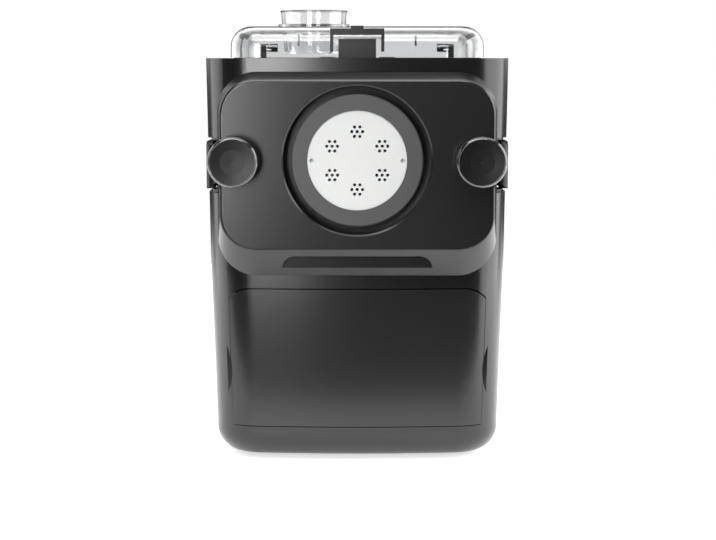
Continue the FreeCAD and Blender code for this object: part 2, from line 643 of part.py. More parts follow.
def make_outlet():
    ring = new_body("disc_retaining_ring")
    section = new_sketch(ring, "XY")
    add_path(section, [
        ("ring_seat / 2", "-casing_front"),
        ("ring_seat / 2", "-lip_back"),
        ("lip_inner / 2", "-lip_back"),
        ("lip_inner / 2", "-ring_front"),
        ("ring_diameter / 2 - ring_bevel", "-ring_front"),
        ("ring_diameter / 2", "ring_bevel - ring_front"),
        ("ring_diameter / 2", "-casing_front"),
    ])
    revolve(ring, section)
    move(ring, z="axis_high")
    disc = new_body("shaping_disc")
    section = new_sketch(disc, "XY")
    add_path(section, [
        ("0", "-disc_back"),
        ("0", "-disc_front"),
        ("disc_face / 2", "-disc_front"),
        ("disc_face / 2", "-lip_back"),
        ("disc_diameter / 2", "-lip_back"),
        ("disc_diameter / 2", "-disc_back"),
    ])
    revolve(disc, section)
    notches = new_sketch(disc, "XZ", "-disc_front")
    for side in (-1, 1):
        add_circle(notches, f"{side} * (disc_face / 2 - disc_notch)", "0", "disc_notch")
    pocket(disc, notches, "disc_front - lip_back")
    holes = new_sketch(disc, "XZ", "-disc_front")
    add_circle(holes, "0", "cluster_radius", "hole_diameter")
    for step in range(6):
        turn = math.radians(60 * step)
        add_circle(holes, f"{math.cos(turn)} * hole_spacing",
                   f"cluster_radius + {math.sin(turn)} * hole_spacing", "hole_diameter")
    cluster = pocket(disc, holes, "2 * (disc_front - disc_back) + 1", both=True)
    polar(disc, cluster, "cluster_count")
    move(disc, z="axis_high")
    tube = new_body("extrusion_tube")
    section = new_sketch(tube, "XY")
    add_path(section, [
        ("tube_inner / 2", "-chamber_front - chamber_wall"),
        ("tube_inner / 2", "-disc_back"),
        ("tube_inner / 2 + tube_wall", "-disc_back"),
        ("tube_inner / 2 + tube_wall", "-chamber_front - chamber_wall - tube_flange_thick"),
        ("tube_flange / 2", "-chamber_front - chamber_wall - tube_flange_thick"),
        ("tube_flange / 2", "-chamber_front - chamber_wall"),
    ])
    revolve(tube, section)
    move(tube, z="axis_high")


def chamber_outline(sketch, grow):
    """Front outline of the tub: a half round under the drive axis that opens to straight upper walls."""
    radius = f"(chamber_radius + {grow})"
    add_path(sketch, [
        ("0", f"axis_high - {radius}", radius, "axis_high"),
        (f"chamber_half + {grow} - chamber_wall", "chamber_shoulder"),
        (f"chamber_half + {grow} - chamber_wall", "casing_top - wall"),
        (f"chamber_wall - chamber_half - {grow}", "casing_top - wall"),
        (f"chamber_wall - chamber_half - {grow}", "chamber_shoulder"),
        (f"-{radius}", "axis_high"),
    ])


def make_chamber():
    tub = new_body("kneading_chamber")
    outside = new_sketch(tub, "XZ", "-chamber_front - chamber_wall")
    chamber_outline(outside, "chamber_wall - fit")
    pad(tub, outside, "chamber_front + chamber_rear + 2 * chamber_wall", reverse=True)
    inside = new_sketch(tub, "XZ", "-chamber_front")
    chamber_outline(inside, "0")
    pocket(tub, inside, "chamber_front + chamber_rear")
    for side, plane in ((-1, "-chamber_front"), (1, "chamber_rear")):
        bore = new_sketch(tub, "XZ", plane)
        add_circle(bore, "0", "axis_high", "tube_inner" if side < 0 else "shaft_diameter + 2")
        pocket(tub, bore, "4 * chamber_wall", both=True)
    return tub


def make_shaft_supports():
    cylinder_y("shaft_seal", "seal_diameter", "chamber_rear + chamber_wall",
               "chamber_rear + chamber_wall + seal_long", "shaft_diameter + 2 * fit")
    cylinder_y("front_bearing", "bearing_diameter", "gearbox_front - bearing_long", "gearbox_front",
               "shaft_diameter + 2 * fit")
    cylinder_y("rear_bearing", "bearing_diameter", "gearbox_rear - gearbox_wall - bearing_long / 2",
               "gearbox_rear - gearbox_wall", "shaft_diameter + 2 * fit")


def make_agitator():
    screw = new_body("extrusion_screw")
    core = new_sketch(screw, "XZ", "-screw_front")
    add_circle(core, "0", "0", "screw_core")
    pad(screw, core, "screw_front + chamber_rear - paddle_gap", reverse=True)
    flight = new_sketch(screw, "YZ")
    add_path(flight, [
        ("-screw_front + flight_root", "screw_core / 2 - 1"),
        ("-screw_front + (flight_root + flight_tip) / 2", "screw_diameter / 2"),
        ("-screw_front + (flight_root - flight_tip) / 2", "screw_diameter / 2"),
        ("-screw_front", "screw_core / 2 - 1"),
    ])
    helix = screw.newObject("PartDesign::AdditiveHelix", "flight_helix")
    helix.Profile = flight
    helix.ReferenceAxis = ([item for item in screw.Origin.OriginFeatures if item.Role == "Y_Axis"][0], [""])
    helix.Mode = 0
    helix.setExpression("Pitch", bound("screw_pitch"))
    helix.setExpression("Height", bound("screw_front - screw_rear - flight_root"))
    move(screw, z="axis_high")
    paddle = new_body("kneading_paddle")
    hub = new_sketch(paddle, "XZ", "paddle_gap - chamber_front + paddle_wide / 2")
    add_circle(hub, "0", "0", "hub_diameter")
    add_circle(hub, "0", "0", "screw_core + 2 * fit")
    pad(paddle, hub, "chamber_front + chamber_rear - 4 * paddle_gap - paddle_wide / 2", reverse=True)
    step = "(chamber_front + chamber_rear - 4 * paddle_gap - 2 * paddle_wide) / 3"
    for index in range(4):
        front = f"paddle_gap * 2 - chamber_front + paddle_wide / 2 + {index} * {step}"
        arm = new_sketch(paddle, "XZ", front)
        turn = math.radians(90 * index + 45)
        across = (math.cos(turn), math.sin(turn))
        corners = []
        inner = "(hub_diameter / 2 - paddle_thick / 2)"
        for reach, side in ((inner, -1), ("paddle_reach", -1), ("paddle_reach", 1), (inner, 1)):
            corners.append((f"{across[0]:.6f} * ({reach}) - ({side} * {across[1]:.6f} * paddle_thick / 2)",
                            f"{across[1]:.6f} * ({reach}) + ({side} * {across[0]:.6f} * paddle_thick / 2)"))
        add_path(arm, corners)
        pad(paddle, arm, "paddle_wide", reverse=True)
    move(paddle, z="axis_high")
    cylinder_y("drive_shaft", "shaft_diameter", "chamber_rear - paddle_gap", "shaft_rear")


def tooth_outline(sketch, teeth, first):
    """One straight-flanked tooth, its middle on the sketch's upright axis, or on the downward one."""
    pitch = f"gear_module * {teeth} / 2"
    root, tip = f"({pitch} - dedendum * gear_module - tooth_sink)", f"({pitch} + addendum * gear_module)"
    arc = f"gear_module * {math.pi:.6f}"
    add_path(sketch, [
        (f"{arc} * tooth_root_share / 2", f"{first} * {root}"),
        (f"{arc} * tooth_tip_share / 2", f"{first} * {tip}"),
        (f"{arc} * tooth_tip_share / -2", f"{first} * {tip}"),
        (f"{arc} * tooth_root_share / -2", f"{first} * {root}"),
    ])


def gear(name, teeth, front, long, bore):
    """A spur gear about the Y axis, with its first tooth straight down."""
    body = new_body(name)
    blank = new_sketch(body, "XZ", front)
    add_circle(blank, "0", "0", f"gear_module * {teeth} - 2 * dedendum * gear_module")
    add_circle(blank, "0", "0", bore)
    pad(body, blank, long, reverse=True)
    tooth = new_sketch(body, "XZ", front)
    tooth_outline(tooth, teeth, -1)
    polar(body, pad(body, tooth, long, reverse=True), teeth)
    return body


def make_gear_train():
    drive = gear("drive_gear", "gear_teeth", "gear_front", "gear_thick", "shaft_diameter")
    move(drive, z="axis_high")
    pinion = gear("motor_pinion", "pinion_teeth", "gear_front", "gear_thick",
                  "motor_shaft_diameter")
    pinion.Placement = FreeCAD.Placement(FreeCAD.Vector(), FreeCAD.Rotation(FreeCAD.Vector(0, 1, 0), 1))
    pinion.setExpression("Placement.Rotation.Angle", bound("180 + 180 / pinion_teeth"))
    move(pinion, z="motor_high")
    cylinder_y("motor_shaft", "motor_shaft_diameter", "gear_front", "motor_shaft_rear", high="motor_high")
    fan = new_body("cooling_fan")
    hub = new_sketch(fan, "XZ", "motor_rear + fan_gap")
    add_circle(hub, "0", "0", "fan_hub")
    add_circle(hub, "0", "0", "motor_shaft_diameter")
    pad(fan, hub, "fan_thick", reverse=True)
    blade = new_sketch(fan, "XZ", "motor_rear + fan_gap")
    add_box(blade, "fan_hub / 2 - 1", "-fan_blade / 2", "fan_diameter / 2", "fan_blade / 2")
    polar(fan, pad(fan, blade, "fan_thick", reverse=True), "fan_blades")
    move(fan, z="motor_high")
    can = cylinder_y("motor", "motor_diameter", "gearbox_rear", "motor_rear",
                     "motor_shaft_diameter + 2 * fit", "motor_high")
    bevel_edges(can, "motor_edge", round_at("motor_rear", "motor_diameter"))
    box = new_body("gearbox_housing")
    half = "(gear_module * (gear_teeth / 2 + 1) + gearbox_gap)"
    down = "(motor_high - gear_module * (pinion_teeth / 2 + 1) - gearbox_gap)"
    case = new_sketch(box, "XZ", "gearbox_front")
    add_round_box(case, f"-{half}", down, half, f"axis_high + {half}", "gearbox_corner")
    pad(box, case, "gearbox_rear - gearbox_front", reverse=True)
    inside = new_sketch(box, "XZ", "gearbox_front + gearbox_wall")
    add_round_box(inside, f"gearbox_wall - {half}", f"{down} + gearbox_wall", f"{half} - gearbox_wall",
                  f"axis_high + {half} - gearbox_wall", "(gearbox_corner - gearbox_wall)")
    pocket(box, inside, "gearbox_rear - gearbox_front - 2 * gearbox_wall")
    bores = new_sketch(box, "XZ", "gearbox_front")
    add_circle(bores, "0", "axis_high", "shaft_diameter + 2 * fit")
    pocket(box, bores, "3 * gearbox_wall", both=True)
    shaft_hole = new_sketch(box, "XZ", "gearbox_rear")
    add_circle(shaft_hole, "0", "motor_high", "motor_shaft_diameter + 2 * fit")
    add_circle(shaft_hole, "0", "axis_high", "shaft_diameter + 2 * fit")
    pocket(box, shaft_hole, "3 * gearbox_wall", both=True)
    plate = new_body("motor_bracket")
    face = new_sketch(plate, "XZ", "gearbox_rear - 2 * mount_thick")
    add_box(face, "-mount_half", "mount_high", "mount_half", f"{down} - seam_gap")
    pad(plate, face, "2 * mount_thick", reverse=True)
    foot = new_sketch(plate, "XZ", "gearbox_front")
    add_box(foot, "-mount_half", "mount_high - mount_thick", "mount_half", "mount_high")
    pad(plate, foot, "motor_rear - gearbox_front", reverse=True)
    for side in (-1, 1):
        leg = new_sketch(plate, "XZ", "gearbox_front + gearbox_wall")
        add_box(leg, f"{side} * (mount_half - mount_thick)", "tray_floor",
                f"{side} * mount_half", "mount_high - mount_thick")
        pad(plate, leg, "motor_rear - gearbox_front - 2 * gearbox_wall", reverse=True)


def mirrored_path(sketch, side, steps):
    """The same outline on the +X side, or turned over onto the -X side."""
    flip = [tuple(f"{side} * ({text})" if index % 2 == 0 else text for index, text in enumerate(step))
            for step in steps]
    add_path(sketch, flip)


def make_clamp(name, side):
    pivot = f"{side} * pivot_x"
    liner = new_body(f"clamp_pocket_{name}")
    block = new_sketch(liner, "XY", "liner_low")
    mirrored_path(block, side, [
        ("pocket_floor - pocket_wall", "-seam_front + 4 * pocket_wall"),
        ("pocket_floor - pocket_wall", "-pocket_rear"),
        ("side_at_liner - wall - seam_gap", "-pocket_rear"),
        ("side_at_liner - wall - seam_gap", "-seam_front + 12 * pocket_wall"),
        ("pocket_floor - pocket_wall / 2", "-seam_front + 4 * pocket_wall"),
    ])
    pad(liner, block, "liner_high - liner_low")
    hollow = new_sketch(liner, "XY", "arm_side_low - pocket_gap")
    mirrored_path(hollow, side, [
        ("pocket_floor", f"-{FAR}"),
        ("pocket_floor", "-pocket_rear - pocket_wall"),
        (f"{FAR}", "-pocket_rear - pocket_wall"),
        (f"{FAR}", f"-{FAR}"),
    ])
    pocket(liner, hollow, "arm_high - arm_side_low + 2 * pocket_gap", reverse=True)
    bore = new_sketch(liner, "XY", "arm_side_low")
    add_circle(bore, pivot, "-pivot_y", "arm_pin")
    pocket(liner, bore, "4 * (arm_high - arm_side_low)", both=True)
    pin = new_body(f"clamp_pin_{name}")
    plan = new_sketch(pin, "XY", "liner_low")
    add_circle(plan, pivot, "-pivot_y", "arm_pin")
    pad(pin, plan, "liner_high - liner_low")
    arm = new_body(f"clamp_arm_{name}")
    back = "(panel_front + arm_face_gap)"
    front = f"({back} + arm_thick)"
    nose = "arm_nose_round"
    bite = 1 - math.sqrt(0.5)
    shape = new_sketch(arm, "XY", "arm_side_low")
    mirrored_path(shape, side, [
        ("arm_outer", "-pivot_y"),
        ("arm_outer", "-arm_bend"),
        ("arm_nose", f"{nose} - {front}"),
        (f"arm_nose - {nose} * {bite}", f"{nose} * {bite} - {front}", f"arm_nose - {nose}", f"-{front}"),
        ("arm_tip", f"-{front}"),
        ("arm_tip", f"-{back}"),
        (f"arm_nose - {nose}", f"-{back}"),
        (f"arm_nose - arm_thick + 0.8", f"1.5 - {back}"),
        (f"arm_outer - arm_thick", "-arm_bend"),
        (f"arm_outer - arm_thick", "-pivot_y - arm_barrel / 2"),
        ("pivot_x", "-pivot_y - arm_barrel / 2"),
        ("pivot_x - arm_barrel / 2", "-pivot_y", "pivot_x", "arm_barrel / 2 - pivot_y"),
        ("pivot_x + arm_barrel / 2 * 0.7071", "arm_barrel / 2 * 0.7071 - pivot_y"),
    ])
    pad(arm, shape, "arm_high - arm_side_low")
    rise = new_sketch(arm, "XZ", f"-{front} - 1")
    mirrored_path(rise, side, [
        (f"{FAR / 4}", "0"),
        (f"{FAR / 4}", "arm_side_low"),
        ("arm_outer + 1", "arm_side_low"),
        ("arm_nose - arm_nose_round", "arm_low - 4"),
        ("arm_tip", "arm_low"),
        ("arm_tip - 1", "0"),
    ])
    pocket(arm, rise, f"{front} - arm_bend")
    bore = new_sketch(arm, "XY", "arm_side_low")
    add_circle(bore, pivot, "-pivot_y", "arm_pin + 2 * fit")
    pocket(arm, bore, f"{FAR}", reverse=True)
    hole = new_sketch(arm, "XZ", f"-{front}")
    add_circle(hole, f"{side} * knob_x", "axis_high", "screw_shank + 2 * fit")
    pocket(arm, hole, "3 * arm_thick", both=True)
    knob = new_body(f"clamp_knob_{name}")
    section = new_sketch(knob, "XY")
    seat = f"({front} + knob_gap)"
    add_path(section, [
        ("0", f"-{seat}"),
        ("0", "knob_dish - knob_front"),
        ("knob_diameter / 4", "knob_dish * 0.7 - knob_front"),
        ("knob_diameter / 2 - knob_chamfer", "-knob_front"),
        ("knob_diameter / 2", "knob_chamfer - knob_front"),
        ("knob_diameter / 2", f"-{seat} - 1"),
        ("knob_diameter / 2 - 1", f"-{seat}"),
    ])
    revolve(knob, section)
    move(knob, x=f"{side} * knob_x", z="axis_high")
    screw = new_body(f"clamp_screw_{name}")
    shank = new_sketch(screw, "XY")
    add_path(shank, [
        ("0", f"-{seat}"),
        ("screw_shank / 2", f"-{seat}"),
        ("screw_shank / 2", "-panel_front - fit"),
        ("0", "-panel_front - fit"),
    ])
    revolve(screw, shank)
    move(screw, x=f"{side} * knob_x", z="axis_high")


def make_clamps():
    make_clamp("left", -1)
    make_clamp("right", 1)


def make_lid():
    shell = new_body("lid_shell")
    plan = new_sketch(shell, "XY", "lid_low")
    add_round_box(plan, "-lid_half", "-lid_front", "lid_half", "lid_rear", "lid_corner")
    pad(shell, plan, "lid_high - lid_low")
    inside = new_sketch(shell, "XY", "lid_low")
    half = "(lid_half - lid_wall)"
    add_round_box(inside, f"-{half}", "lid_wall - lid_front", half, "lid_rear - lid_wall",
                  "(lid_corner - lid_wall)")
    pocket(shell, inside, "lid_high - lid_low - lid_wall", reverse=True)
    round_edges(shell, "lid_edge - lid_wall", flat_at("Z", "lid_high - lid_wall"))
    round_edges(shell, "lid_edge", flat_at("Z", "lid_high"))
    cup = new_sketch(shell, "XY", "lid_high + 1")
    add_circle(cup, "cup_x", "cup_y", "cup_top_diameter + 2 * cup_gap")
    pocket(shell, cup, "lid_wall * 4")
    for side in (-1, 1):
        rib = new_sketch(shell, "YZ", f"{side} * rib_side - rib_thick / 2")
        add_box(rib, "lid_wall - lid_front - 0.5", "lid_low", "lid_wall - lid_front + rib_deep",
                "lid_high - lid_wall - rib_deep")
        pad(shell, rib, "rib_thick")
    knuckles = new_body("hinge_knuckles")
    for side in (-1, 1):
        inner = f"{side} * (hinge_side - lug_gap) - knuckle_width * {(1 + side) / 2}"
        knuckle = new_sketch(knuckles, "YZ", inner)
        add_path(knuckle, [
            ("hinge_rear", "hinge_high - hinge_barrel / 2"),
            ("hinge_rear + hinge_barrel / 2", "hinge_high", "hinge_rear", "hinge_high + hinge_barrel / 2"),
            ("lid_rear", "hinge_high + hinge_barrel / 2"),
            ("lid_rear", "hinge_high - hinge_barrel / 2"),
        ])
        add_circle(knuckle, "hinge_rear", "hinge_high", "hinge_pin + 2 * fit")
        pad(knuckles, knuckle, "knuckle_width")
    pins = new_body("hinge_pins")
    for side in (-1, 1):
        pin = new_sketch(pins, "YZ", f"{side} * (hinge_side - knuckle_width + lug_thick / 2)")
        add_circle(pin, "hinge_rear", "hinge_high", "hinge_pin")
        pad(pins, pin, "knuckle_width + lug_thick / 2", reverse=side < 0)
    lugs = new_body("hinge_lugs")
    for side in (-1, 1):
        lug = new_sketch(lugs, "YZ", f"{side} * hinge_side")
        add_path(lug, [
            ("hinge_rear + hinge_barrel / 2", "casing_top"),
            ("hinge_rear + hinge_barrel / 2", "hinge_high"),
            ("hinge_rear", "hinge_high + hinge_barrel / 2", "hinge_rear - hinge_barrel / 2", "hinge_high"),
            ("hinge_rear - hinge_barrel / 2", "casing_top"),
        ])
        add_circle(lug, "hinge_rear", "hinge_high", "hinge_pin")
        pad(lugs, lug, "lug_thick", reverse=side < 0)


def make_clasp():
    clasp = new_body("lid_clasp")
    frame = new_sketch(clasp, "XZ", "-clasp_front")
    add_path(frame, [
        ("clasp_half", "clasp_low"),
        ("clasp_half", "clasp_high"),
        ("-clasp_half", "clasp_high"),
        ("-clasp_half", "clasp_low"),
        ("clasp_leg - clasp_half", "clasp_low"),
        ("clasp_leg - clasp_half", "clasp_high - clasp_bar"),
        ("clasp_half - clasp_leg", "clasp_high - clasp_bar"),
        ("clasp_half - clasp_leg", "clasp_low"),
    ])
    pad(clasp, frame, "clasp_front - lid_front", reverse=True)
    tab = new_sketch(clasp, "XZ", "-clasp_front")
    add_box(tab, "-tab_half", "clasp_high - tab_high", "tab_half", "clasp_high + tab_high")
    pad(clasp, tab, "tab_deep", reverse=True)
    post = new_body("latch_post")
    block = new_sketch(post, "XZ", "-post_front")
    add_box(block, "-post_half", "casing_top", "post_half", "post_high")
    pad(post, block, "post_deep", reverse=True)


def make_cup():
    cup = new_body("measuring_cup")
    section = new_sketch(cup, "XZ")
    top, low = "cup_top_diameter / 2", "cup_low_diameter / 2"
    add_path(section, [
        ("0", "cup_low"),
        (low, "cup_low"),
        (f"{low} + ({top} - {low}) * (lid_high + cup_gap - cup_low) / (cup_high - cup_low)",
         "lid_high + cup_gap"),
        (f"{top} + cup_rim", "lid_high + cup_gap"),
        (f"{top} + cup_rim", "lid_high + cup_gap + cup_bead_high"),
        (f"{top} - 0.6", "lid_high + cup_gap + cup_bead_high"),
        (top, "cup_high"),
        (f"{top} - cup_wall", "cup_high"),
        (f"{low} - cup_wall", "cup_low + cup_wall"),
        ("0", "cup_low + cup_wall"),
    ])
    revolve(cup, section)
    move(cup, x="cup_x", y="cup_y")


def make_drawer():
    front = new_body("drawer_front")
    casing_loft("PartDesign::AdditiveLoft", front)
    back = new_sketch(front, "XZ", "-seam_front - seam_gap")
    add_box(back, f"-{FAR}", "0", f"{FAR}", f"{FAR}")
    pocket(front, back, f"{FAR}")
    above = new_sketch(front, "XZ", "-casing_front - 1")
    shoulder = "drawer_high - drawer_corner"
    add_path(above, [
        (f"{FAR}", shoulder),
        (f"{FAR}", f"{FAR}"),
        (f"-{FAR}", f"{FAR}"),
        (f"-{FAR}", shoulder),
        ("-drawer_half", shoulder),
        *[tuple(f"-1 * ({text})" if index % 2 == 0 else text for index, text in enumerate(step))
          for step in drawer_top("0")],
    ])
    pocket(front, above, "casing_front")
    below = new_sketch(front, "XY", "drawer_low")
    add_box(below, f"-{FAR}", f"-{FAR}", f"{FAR}", f"{FAR}")
    pocket(front, below, "casing_top")
    for side in (-1, 1):
        scoop(front, side)
    box = new_body("storage_drawer")
    plan = new_sketch(box, "XY", "box_low")
    add_box(plan, "-box_half", "-seam_front - seam_gap", "box_half", "-box_rear")
    pad(box, plan, "box_high - box_low")
    inside = new_sketch(box, "XY", "box_low + box_wall")
    add_box(inside, "box_wall - box_half", "box_wall - seam_front - seam_gap", "box_half - box_wall",
            "-box_rear - box_wall")
    pocket(box, inside, "box_high", reverse=True)
    divider = new_body("drawer_divider")
    wall = new_sketch(divider, "YZ", "-divider_thick / 2")
    add_box(wall, "box_wall - seam_front - seam_gap", "box_low + box_wall", "-box_rear - box_wall",
            "box_high - divider_drop")
    pad(divider, wall, "divider_thick")
    for name, side in (("left", -1), ("right", 1)):
        spare = new_body(f"spare_disc_{name}")
        plate = new_sketch(spare, "XY", "box_low + box_wall")
        middle = "-(seam_front + box_rear) / 2"
        add_circle(plate, f"{side} * box_half / 2", middle, "stored_diameter")
        for step in range(int(value("stored_holes"))):
            turn = 2 * math.pi * step / value("stored_holes")
            add_circle(plate, f"{side} * box_half / 2 + {math.cos(turn):.6f} * stored_ring / 2",
                       f"{middle} + {math.sin(turn):.6f} * stored_ring / 2", "stored_hole")
        pad(spare, plate, "stored_thick")
    bay = new_body("drawer_bay")
    shell = new_sketch(bay, "XZ", "-seam_front + bay_wall")
    half = "(box_half + bay_gap + bay_wall)"
    add_box(shell, f"-{half}", "tray_top", half, "box_high + bay_gap + bay_wall")
    pad(bay, shell, "seam_front - box_rear + bay_gap + bay_wall", reverse=True)
    hollow = new_sketch(bay, "XZ", "-seam_front")
    add_box(hollow, "-box_half - bay_gap", "box_low - bay_gap", "box_half + bay_gap", "box_high + bay_gap")
    pocket(bay, hollow, "seam_front - box_rear + bay_gap")
    legs = new_sketch(bay, "XY", "tray_floor")
    for side in (-1, 1):
        add_box(legs, f"{side} * leg_side - bay_wall", "corner_front - seam_front",
                f"{side} * leg_side + bay_wall", "-box_rear")
    pad(bay, legs, "tray_top - tray_floor + bay_wall")


def make_controls():
    plate = new_body("control_panel")
    plan = new_sketch(plate, "XY", "casing_top - control_thick")
    add_round_box(plan, "-control_half", "control_front", "control_half", "control_rear", "control_corner")
    for step in (-1, 0, 1):
        add_circle(plan, f"{step} * key_spacing", "key_y", "key_diameter + 2 * key_gap")
    pad(plate, plan, "control_thick")
    seat = new_sketch(plate, "XY", "casing_top")
    add_box(seat, "-lens_half", "lens_front", "lens_half", "lens_rear")
    pocket(plate, seat, "lens_thick")
    lens = new_body("display_lens")
    glass = new_sketch(lens, "XY", "casing_top - lens_thick")
    add_box(glass, "-lens_half", "lens_front", "lens_half", "lens_rear")
    pad(lens, glass, "lens_thick")
    for name, step in (("power", -1), ("program", 0), ("start", 1)):
        key = new_body(f"{name}_button")
        stem = new_sketch(key, "XY", "casing_top - control_thick - key_travel - 2 * key_flange")
        add_circle(stem, f"{step} * key_spacing", "key_y", "key_diameter")
        pad(key, stem, "control_thick + key_travel + 2 * key_flange + key_proud")
        bevel_edges(key, "key_proud / 3", flat_at("Z", "casing_top + key_proud"))
        rim = new_sketch(key, "XY", "casing_top - control_thick - 2 * key_flange")
        add_circle(rim, f"{step} * key_spacing", "key_y", "key_diameter + 2 * key_flange")
        pad(key, rim, "2 * key_flange - key_gap")
    board = new_body("control_board")
    low = "(casing_top - control_thick - key_travel - 2 * key_flange - board_gap)"
    card = new_sketch(board, "XY", f"{low} - board_thick")
    add_box(card, "board_inset - control_half", "control_front + board_inset", "control_half - board_inset",
            "control_rear - board_inset")
    pad(board, card, "board_thick")
    posts = new_sketch(board, "XY", low)
    for side in (-1, 1):
        for row in ("control_front + 2 * board_inset", "control_rear - 2 * board_inset"):
            add_circle(posts, f"{side} * (control_half - 2 * board_inset)", row, "board_post")
    pad(board, posts, f"casing_top - wall - {low}")
    for step in (-1, 0, 1):
        contact = new_sketch(board, "XY", low)
        add_box(contact, f"{step} * key_spacing - switch_wide / 2", "key_y - switch_wide / 2",
                f"{step} * key_spacing + switch_wide / 2", "key_y + switch_wide / 2")
        pad(board, contact, "board_gap - key_travel - key_gap")


def make_electrics():
    inlet = new_body("power_inlet")
    body = new_sketch(inlet, "XZ", "casing_rear + inlet_proud")
    add_box(body, "seam_gap - inlet_half", "inlet_low + seam_gap", "inlet_half - seam_gap",
            "inlet_high - seam_gap")
    pad(inlet, body, "inlet_deep + inlet_proud")
    rim = new_sketch(inlet, "XZ", "casing_rear")
    add_box(rim, "-inlet_half - inlet_proud", "inlet_low - inlet_proud", "inlet_half + inlet_proud",
            "inlet_high + inlet_proud")
    pad(inlet, rim, "inlet_proud", reverse=True)
    socket = new_sketch(inlet, "XZ", "casing_rear + inlet_proud")
    add_round_box(socket, "-socket_half", "socket_low", "socket_half", "socket_high", "socket_round")
    pocket(inlet, socket, "socket_deep", reverse=True)
    board = new_body("power_board")
    card = new_sketch(board, "XY", "power_board_high")
    add_box(card, "-power_board_half", "power_board_front", "power_board_half", "power_board_rear")
    pad(board, card, "board_thick")
    legs = new_sketch(board, "XY", "tray_floor")
    for side in (-1, 1):
        for row in ("power_board_front + board_post", "power_board_rear - board_post"):
            add_circle(legs, f"{side} * (power_board_half - board_post)", row, "board_post")
    pad(board, legs, "power_board_high - tray_floor")
    cans = new_sketch(board, "XY", "power_board_high + board_thick")
    add_circle(cans, "-power_board_half / 2", "power_board_front + capacitor_diameter", "capacitor_diameter")
    add_circle(cans, "power_board_half / 2", "power_board_front + capacitor_diameter", "capacitor_diameter")
    pad(board, cans, "capacitor_high")
    switch = new_body("lid_switch")
    block = new_sketch(switch, "XY", "casing_top - wall - switch_tall")
    add_box(block, "-switch_long", "-seam_front + pocket_wall", "switch_long",
            "-seam_front + pocket_wall + switch_wide * 2")
    pad(switch, block, "switch_tall")
    screws = new_body("base_screws")
    spots = [(f"{side} * base_screw_side", row) for side in (-1, 1)
             for row in ("-base_screw_front", "base_screw_rear")]
    heads = new_sketch(screws, "XY", "foot_height - screw_head_high")
    stems = new_sketch(screws, "XY", "foot_height")
    for x, y in spots:
        add_circle(heads, x, y, "screw_head")
        add_circle(stems, x, y, "screw_stem")
    pad(screws, heads, "screw_head_high")
    pad(screws, stems, "tray_wall + screw_bite")


BUILDERS = [make_main_housing, make_top_deck, make_rear_cover, make_front_fascia, make_base_tray, make_feet,
            make_front_panel, make_outlet, make_chamber, make_shaft_supports, make_agitator,
            make_gear_train, make_clamps, make_lid, make_clasp, make_cup, make_drawer, make_controls,
            make_electrics]

for build in BUILDERS:
    build()
    doc.recompute()

faults = [f"{item.Label}: {item.State}" for item in doc.Objects
          if "Invalid" in item.State or "Error" in item.State]
for piece in pieces:
    if piece.Shape.isNull() or not piece.Shape.isValid():
        faults.append(f"{piece.Label} has no valid shape")
if faults:
    raise SystemExit("\n".join(faults))
os.makedirs("parts", exist_ok=True)
for piece in pieces:
    piece.Shape.exportStep(f"parts/{piece.Label}.step")
    print(piece.Label, round(piece.Shape.Volume / 1000, 2), "cm3", len(piece.Shape.Solids), "solids")
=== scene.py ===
import json
import math

import bmesh
import bpy
from mathutils import Matrix, Vector


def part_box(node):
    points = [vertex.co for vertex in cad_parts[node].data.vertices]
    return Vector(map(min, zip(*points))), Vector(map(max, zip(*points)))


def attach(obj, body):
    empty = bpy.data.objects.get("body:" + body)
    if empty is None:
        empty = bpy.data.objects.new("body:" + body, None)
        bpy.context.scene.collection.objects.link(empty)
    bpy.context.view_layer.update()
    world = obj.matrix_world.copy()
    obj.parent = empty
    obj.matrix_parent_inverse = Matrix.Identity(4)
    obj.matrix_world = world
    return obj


# Electric pasta maker dressed for a studio picture: front towards -Y, sizes in metres
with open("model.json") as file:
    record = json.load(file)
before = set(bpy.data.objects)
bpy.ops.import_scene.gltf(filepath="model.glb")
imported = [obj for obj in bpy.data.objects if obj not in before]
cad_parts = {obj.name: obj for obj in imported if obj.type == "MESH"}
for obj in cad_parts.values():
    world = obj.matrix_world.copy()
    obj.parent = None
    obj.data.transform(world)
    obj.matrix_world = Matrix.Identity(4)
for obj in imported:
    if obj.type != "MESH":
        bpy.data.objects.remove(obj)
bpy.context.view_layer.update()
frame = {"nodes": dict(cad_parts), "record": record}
nodes = frame["nodes"]
print("frame loaded:", len(nodes), "nodes")


# finishes

def newMaterial(name):
    material = bpy.data.materials.new(name)
    material.use_nodes = True
    material.node_tree.nodes.clear()
    tree = material.node_tree
    out = tree.nodes.new("ShaderNodeOutputMaterial")
    shader = tree.nodes.new("ShaderNodeBsdfPrincipled")
    tree.links.new(shader.outputs["BSDF"], out.inputs["Surface"])
    return material, tree, shader


def addNoise(tree, scale, detail, stretch=(1, 1, 1)):
    place = tree.nodes.new("ShaderNodeTexCoord")
    mapping = tree.nodes.new("ShaderNodeMapping")
    mapping.inputs["Scale"].default_value = stretch
    noise = tree.nodes.new("ShaderNodeTexNoise")
    noise.inputs["Scale"].default_value = scale
    noise.inputs["Detail"].default_value = detail
    tree.links.new(place.outputs["Object"], mapping.inputs["Vector"])
    tree.links.new(mapping.outputs["Vector"], noise.inputs["Vector"])
    return noise


# base colour that goes from the first to the second as the given output rises
def addTone(tree, output, shader, first, second, look):
    ramp = tree.nodes.new("ShaderNodeValToRGB")
    ramp.color_ramp.elements[0].color = (*first, 1)
    ramp.color_ramp.elements[1].color = (*second, 1)
    ramp.color_ramp.elements[0].position = look["toneLow"]
    ramp.color_ramp.elements[1].position = look["toneHigh"]
    tree.links.new(output, ramp.inputs["Fac"])
    tree.links.new(ramp.outputs["Color"], shader.inputs["Base Color"])


